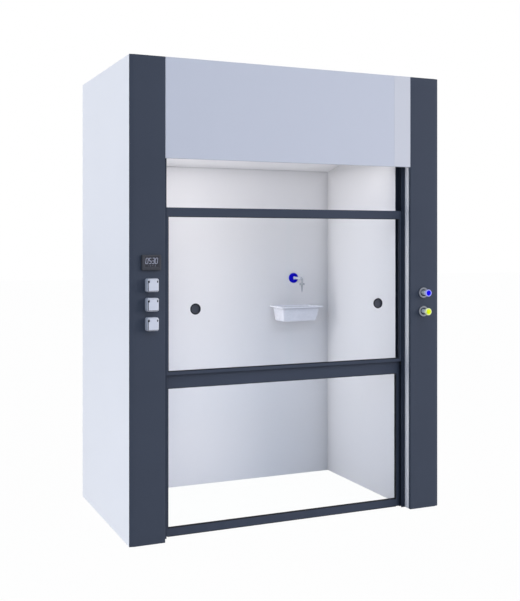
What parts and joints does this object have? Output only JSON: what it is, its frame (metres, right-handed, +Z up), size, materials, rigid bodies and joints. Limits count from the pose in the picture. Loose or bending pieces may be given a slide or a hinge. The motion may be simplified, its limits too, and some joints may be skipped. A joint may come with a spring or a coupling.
{
  "type": "walk-in fume hood",
  "caption": "Floor-standing walk-in fume hood with two counterbalanced vertical sashes, sideways sliding panes, socket lids, service valves, cup sink and roof exhaust collar.",
  "frame": {"origin": "floor level under the centre of the object's bounding box", "axes": "+X to the right of someone facing the sashes, +Y to the back, +Z up"},
  "size_m": [1.8, 1.003, 2.47],
  "materials": {
    "post_paint": "satin",
    "panel_white": "satin",
    "fascia_grey": "satin",
    "liner_white": "satin",
    "back_sheet": "matte",
    "frame_steel": "satin",
    "sash_profile": "satin",
    "guide_profile": "satin",
    "glass": "polished",
    "rubber_black": "matte",
    "pulley_plastic": "satin",
    "axle_steel": "satin",
    "cable_steel": "satin",
    "weight_iron": "matte",
    "duct_plastic": "satin",
    "lamp_sheet": "satin",
    "monitor_plastic": "matte",
    "screen_panel": "gloss",
    "socket_white": "satin",
    "contact_grey": "matte",
    "chrome": "polished",
    "valve_brass": "satin",
    "blue_plastic": "gloss",
    "yellow_plastic": "gloss",
    "sink_white": "satin",
    "pipe_copper": "satin"
  },
  "bodies": {
    "cabinet": {"left_post_cover": "post_paint", "right_post_cover": "post_paint", "left_side_panel": "panel_white", "right_side_panel": "panel_white", "roof_panel": "panel_white", "fascia_panel": "fascia_grey", "side_liners": "liner_white", "rear_liner": "liner_white", "ceiling_panel": "liner_white", "back_panel": "back_sheet", "frame_uprights": "frame_steel", "frame_beams": "frame_steel", "liner_brackets": "frame_steel", "pulley_brackets": "frame_steel", "levelling_feet": "axle_steel", "sash_guides": "guide_profile", "sash_stops": "rubber_black", "pulley_axles": "axle_steel", "upper_sash_cables": "cable_steel", "lower_sash_cables": "cable_steel", "exhaust_grille": "duct_plastic", "exhaust_plenum": "duct_plastic", "exhaust_spigot": "duct_plastic", "lamp_housing": "lamp_sheet", "lamp_window": "glass", "monitor_housing": "monitor_plastic", "monitor_screen": "screen_panel", "socket_housings": "socket_white", "socket_inserts": "contact_grey", "valve_roses": "chrome", "valve_bodies": "valve_brass", "outlet_rose": "blue_plastic", "outlet_spout": "chrome", "outlet_nozzle": "chrome", "cup_sink": "sink_white", "drain_socket": "duct_plastic", "sink_strainer": "chrome", "service_pipes": "pipe_copper"},
    "upper_sash": {"upper_sash_stiles": "sash_profile", "upper_sash_rails": "sash_profile"},
    "left_sliding_pane": {"left_pane": "glass", "left_finger_pull": "monitor_plastic"},
    "right_sliding_pane": {"right_pane": "glass", "right_finger_pull": "monitor_plastic"},
    "lower_sash": {"lower_sash_stiles": "sash_profile", "lower_sash_handle_rail": "sash_profile", "lower_sash_bottom_rail": "sash_profile", "lower_sash_pane": "glass", "bottom_seal": "rubber_black"},
    "upper_weights": {"upper_counterweights": "weight_iron"},
    "lower_weights": {"lower_counterweights": "weight_iron"},
    "upper_left_wheel": {"upper_left_pulley": "pulley_plastic"},
    "upper_right_wheel": {"upper_right_pulley": "pulley_plastic"},
    "lower_left_wheel": {"lower_left_pulley": "pulley_plastic"},
    "lower_right_wheel": {"lower_right_pulley": "pulley_plastic"},
    "top_lid": {"socket_lid_top": "socket_white"},
    "middle_lid": {"socket_lid_middle": "socket_white"},
    "bottom_lid": {"socket_lid_bottom": "socket_white"},
    "blue_knob": {"blue_valve_knob": "blue_plastic"},
    "yellow_knob": {"yellow_valve_knob": "yellow_plastic"}
  },
  "joints": [
    {"name": "upper_sash_slide", "type": "slide", "parent": "cabinet", "child": "upper_sash", "axis": [0, 0, 1], "range_m": [0, 0.61], "deforming": ["upper_sash_cables"]},
    {"name": "lower_sash_slide", "type": "slide", "parent": "cabinet", "child": "lower_sash", "axis": [0, 0, 1], "range_m": [0, 1.43], "deforming": ["lower_sash_cables"]},
    {"name": "left_pane_slide", "type": "slide", "parent": "upper_sash", "child": "left_sliding_pane", "axis": [1, 0, 0], "range_m": [0, 0.64]},
    {"name": "right_pane_slide", "type": "slide", "parent": "upper_sash", "child": "right_sliding_pane", "axis": [-1, 0, 0], "range_m": [0, 0.64]},
    {"name": "upper_weights_drop", "type": "slide", "parent": "cabinet", "child": "upper_weights", "axis": [0, 0, -1], "range_m": [0, 0.61]},
    {"name": "lower_weights_drop", "type": "slide", "parent": "cabinet", "child": "lower_weights", "axis": [0, 0, -1], "range_m": [0, 1.43]},
    {"name": "upper_left_pulley_turn", "type": "hinge", "parent": "cabinet", "child": "upper_left_wheel", "pos_m": [-0.747, -0.3825, 2.33], "axis": [0, -1, 0], "range_deg": [0, 780]},
    {"name": "upper_right_pulley_turn", "type": "hinge", "parent": "cabinet", "child": "upper_right_wheel", "pos_m": [0.747, -0.3825, 2.33], "axis": [0, 1, 0], "range_deg": [0, 780]},
    {"name": "lower_left_pulley_turn", "type": "hinge", "parent": "cabinet", "child": "lower_left_wheel", "pos_m": [-0.747, -0.3615, 2.33], "axis": [0, -1, 0], "range_deg": [0, 1830]},
    {"name": "lower_right_pulley_turn", "type": "hinge", "parent": "cabinet", "child": "lower_right_wheel", "pos_m": [0.747, -0.3615, 2.33], "axis": [0, 1, 0], "range_deg": [0, 1830]},
    {"name": "top_lid_hinge", "type": "hinge", "parent": "cabinet", "child": "top_lid", "pos_m": [-0.7915, -0.488, 1.299], "axis": [-1, 0, 0], "range_deg": [0, 90], "stiffness_Nm_per_rad": 0.02, "springref_deg": -11.46},
    {"name": "middle_lid_hinge", "type": "hinge", "parent": "cabinet", "child": "middle_lid", "pos_m": [-0.7915, -0.488, 1.204], "axis": [-1, 0, 0], "range_deg": [0, 90], "stiffness_Nm_per_rad": 0.02, "springref_deg": -11.46},
    {"name": "bottom_lid_hinge", "type": "hinge", "parent": "cabinet", "child": "bottom_lid", "pos_m": [-0.7915, -0.488, 1.109], "axis": [-1, 0, 0], "range_deg": [0, 90], "stiffness_Nm_per_rad": 0.02, "springref_deg": -11.46},
    {"name": "blue_valve_turn", "type": "hinge", "parent": "cabinet", "child": "blue_knob", "pos_m": [0.801, -0.4885, 1.203], "axis": [0, -1, 0], "range_deg": [0, 540]},
    {"name": "yellow_valve_turn", "type": "hinge", "parent": "cabinet", "child": "yellow_knob", "pos_m": [0.801, -0.4885, 1.1], "axis": [0, -1, 0], "range_deg": [0, 90]}
  ],
  "couplings": [
    {"joint": "upper_weights_drop", "follows": "upper_sash_slide", "ratio": 1},
    {"joint": "lower_weights_drop", "follows": "lower_sash_slide", "ratio": 1},
    {"joint": "upper_left_pulley_turn", "follows": "upper_sash_slide", "rad_per_m": 22.222},
    {"joint": "upper_right_pulley_turn", "follows": "upper_sash_slide", "rad_per_m": 22.222},
    {"joint": "lower_left_pulley_turn", "follows": "lower_sash_slide", "rad_per_m": 22.222},
    {"joint": "lower_right_pulley_turn", "follows": "lower_sash_slide", "rad_per_m": 22.222}
  ]
}
